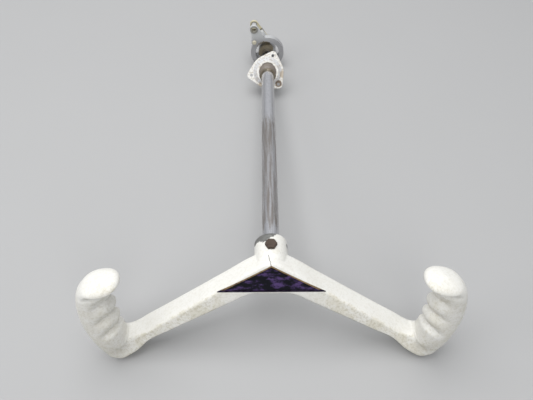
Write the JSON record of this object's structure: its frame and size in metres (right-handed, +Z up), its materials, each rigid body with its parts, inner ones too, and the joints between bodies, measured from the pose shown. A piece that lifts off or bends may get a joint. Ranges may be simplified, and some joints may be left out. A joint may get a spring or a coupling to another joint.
{
  "type": "aircraft control yoke",
  "caption": "Ram's-horn aircraft control yoke on a polished sliding shaft, with a self-aligning panel bearing and a forked aileron crank at the far end.",
  "frame": {"origin": "centre of the panel flange's screw circle on its mounting face, which is the ball's centre on the shaft's axis", "axes": "+Y forward along the shaft, away from the pilot; +X to the pilot's right; +Z up"},
  "size_m": [0.329, 0.4532, 0.1243],
  "materials": {
    "white_paint": "aged white enamel on a casting, chipped",
    "flange_paint": "white enamel, brown dirt at its edges",
    "plated_steel": "dull plated steel",
    "brown_phenolic": "dark brown moulded phenolic",
    "bronze_liner": "dull bronze",
    "polished_steel": "polished tube with worn brown streaks",
    "plain_aluminium": "turned",
    "gold_trim": "thin gilt edge",
    "dark_enamel": "dark violet enamel",
    "rusty_steel": "dark brown rusted hex head",
    "grey_casting": "grey casting, greasy inside",
    "yellow_plate": "yellowish plated cheek"
  },
  "bodies": {
    "panel_bearing": {"panel_flange": "flange_paint", "ball_retainer": "plated_steel", "snap_ring": "plated_steel"},
    "ball": {"ball_bush": "brown_phenolic"},
    "liner": {"bush_liner": "bronze_liner", "liner_clip": "plated_steel"},
    "column": {"shaft_tube": "polished_steel", "hub_plug": "plain_aluminium", "crank_plug": "plain_aluminium", "yoke_wheel": "white_paint", "badge_rim": "gold_trim", "badge_plate": "dark_enamel", "hub_bolt": "rusty_steel", "hub_washer": "plated_steel", "hub_nut": "plated_steel", "hub_cotter_pin": "plated_steel", "crank_wheel": "grey_casting", "rear_cheek": "yellow_plate", "clevis_bushes": "bronze_liner", "cheek_dowel": "plated_steel", "lug_bolt": "plated_steel", "lug_nut": "plated_steel", "crank_bolt": "plated_steel", "crank_washer": "plated_steel", "crank_nut": "plated_steel", "crank_cotter_pin": "plated_steel"}
  },
  "joints": [
    {"name": "ball_swivel", "type": "hinge", "parent": "panel_bearing", "child": "ball", "pos_m": [0, 0, 0], "axis": [1, 0, 0], "range_deg": [-4, 4]},
    {"name": "aileron_turn", "type": "hinge", "parent": "ball", "child": "liner", "pos_m": [0, 0, 0], "axis": [0, 1, 0], "range_deg": [-90, 90]},
    {"name": "elevator_slide", "type": "slide", "parent": "liner", "child": "column", "axis": [0, 1, 0], "range_m": [-0.02, 0.16]}
  ]
}
